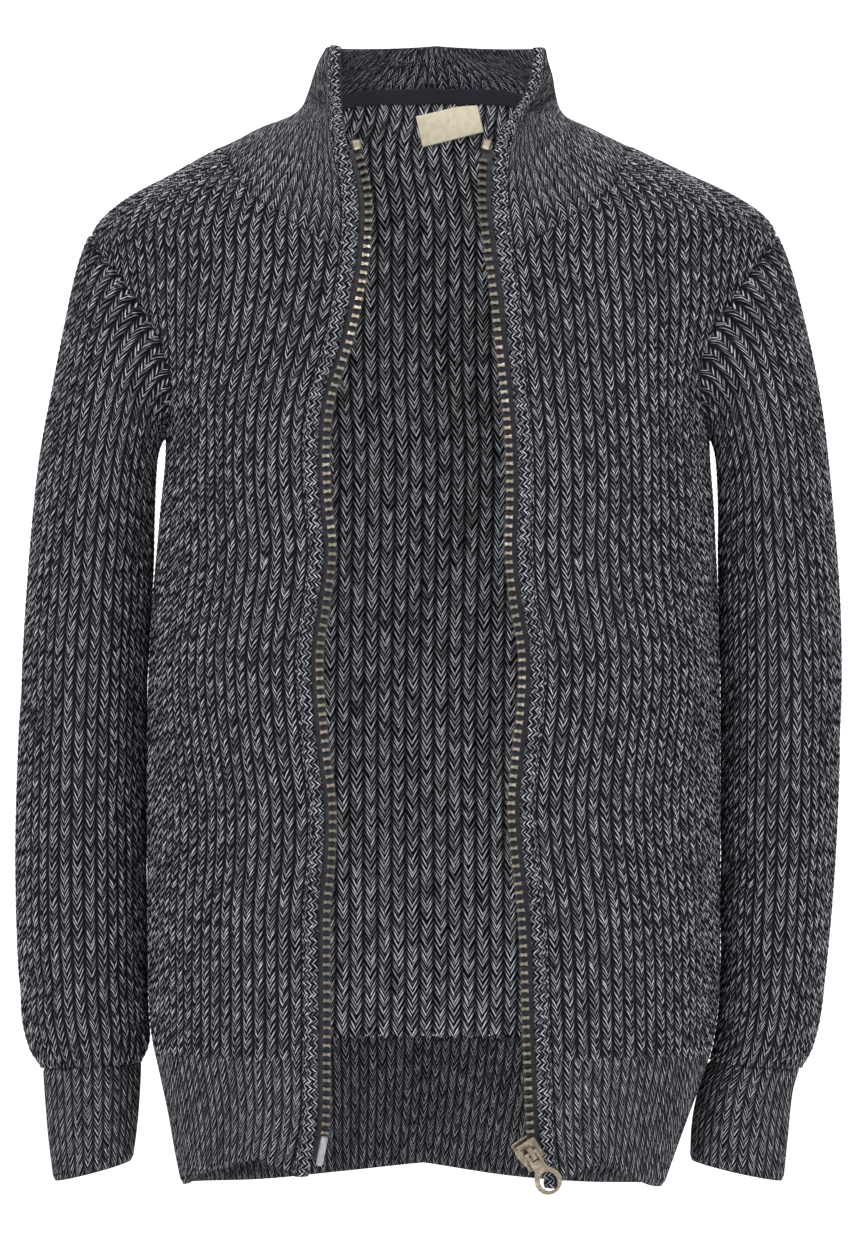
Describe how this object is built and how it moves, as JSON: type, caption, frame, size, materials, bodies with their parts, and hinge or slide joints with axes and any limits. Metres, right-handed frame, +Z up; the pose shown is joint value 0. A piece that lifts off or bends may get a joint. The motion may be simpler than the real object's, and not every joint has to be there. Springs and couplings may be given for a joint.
{
  "type": "cardigan",
  "caption": "Child's zip-through funnel-neck cardigan in chunky marled rib, worn form with the front open, fine rib cuffs and hem, and a metal zip with a swinging pull tab.",
  "frame": {"origin": "between the high points of the shoulders, level with them and on the body's own mid-line, where the wearer's shoulders hold the garment", "axes": "+Z up along the worn garment, front towards -Y, +X to the right of the picture (the wearer's left)"},
  "size_m": [0.332, 0.1773, 0.463],
  "materials": {
    "marled_knit": "matte two-ply marl in charcoal and pale grey, chunky half-cardigan rib",
    "marled_rib": "matte two-ply marl in charcoal and pale grey, fine rib",
    "zip_tape": "black woven zip tape",
    "navy_tape": "navy herringbone neck tape",
    "label_cloth": "plain cream woven label",
    "zip_teeth": "antique beige-brown metal teeth",
    "antique_brass": "dark antique brass with rubbed edges",
    "grey_pin": "light grey end of the zip"
  },
  "bodies": {
    "garment": {"back_panel": "marled_knit", "collar": "marled_rib", "cuff_left": "marled_rib", "cuff_right": "marled_rib", "front_band_left": "marled_rib", "front_band_right": "marled_rib", "front_left": "marled_knit", "front_right": "marled_knit", "hem_back": "marled_rib", "hem_left": "marled_rib", "hem_right": "marled_rib", "insertion_pin": "grey_pin", "neck_label": "label_cloth", "neck_tape": "navy_tape", "retainer_box": "antique_brass", "sleeve_left": "marled_knit", "sleeve_right": "marled_knit", "top_stop_left": "antique_brass", "top_stop_right": "antique_brass", "zip_slider": "antique_brass", "zip_tape_left": "zip_tape", "zip_tape_right": "zip_tape", "zip_teeth_left": "zip_teeth", "zip_teeth_right": "zip_teeth"},
    "pull_tab": {"zip_pull": "antique_brass"}
  },
  "joints": [
    {"name": "pull_tab_swing", "type": "hinge", "parent": "garment", "child": "pull_tab", "pos_m": [0.03735, -0.07464, -0.39988], "axis": [-0.8319, -0.1248, -0.5408], "range_deg": [0, 140]}
  ]
}
